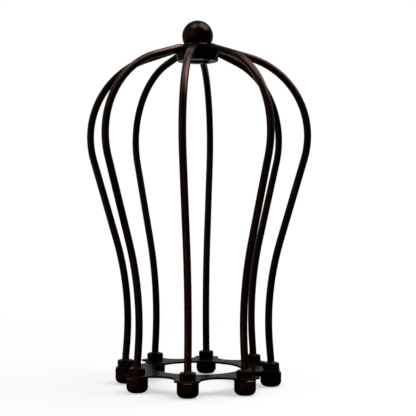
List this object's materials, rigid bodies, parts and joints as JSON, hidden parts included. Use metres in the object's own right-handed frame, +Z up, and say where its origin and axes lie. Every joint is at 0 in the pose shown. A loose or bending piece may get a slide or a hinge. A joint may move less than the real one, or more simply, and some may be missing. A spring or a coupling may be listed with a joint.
{
  "type": "wire cage lamp shade",
  "caption": "Balloon-shaped lamp shade of bowed dark bronze wires between a scalloped ring plate for a lamp holder and a turned hub with a ball on top, standing on round cap nuts.",
  "frame": {"origin": "on the shade's axis, at the level of the feet of the cap nuts", "axes": "+Z up along the axis, from the ring plate to the ball; -Y towards the front wire"},
  "size_m": [0.109, 0.109, 0.1755],
  "materials": {
    "bronze_wire": "satin antique bronze with a red-brown rub",
    "bronze_plate": "satin antique bronze, a little lighter on the flat",
    "bronze_nut": "satin antique bronze, dark in the corners",
    "bronze_turned": "smooth satin antique bronze"
  },
  "bodies": {
    "root": {"cage_wire_1": "bronze_wire", "cage_wire_2": "bronze_wire", "cage_wire_3": "bronze_wire", "cage_wire_4": "bronze_wire", "cage_wire_5": "bronze_wire", "cage_wire_6": "bronze_wire", "cage_wire_7": "bronze_wire", "cage_wire_8": "bronze_wire", "ring_plate": "bronze_plate", "lock_nuts": "bronze_nut", "cap_nuts": "bronze_nut", "hub": "bronze_turned", "ball_finial": "bronze_turned", "finial_screw": "bronze_nut"}
  },
  "joints": []
}
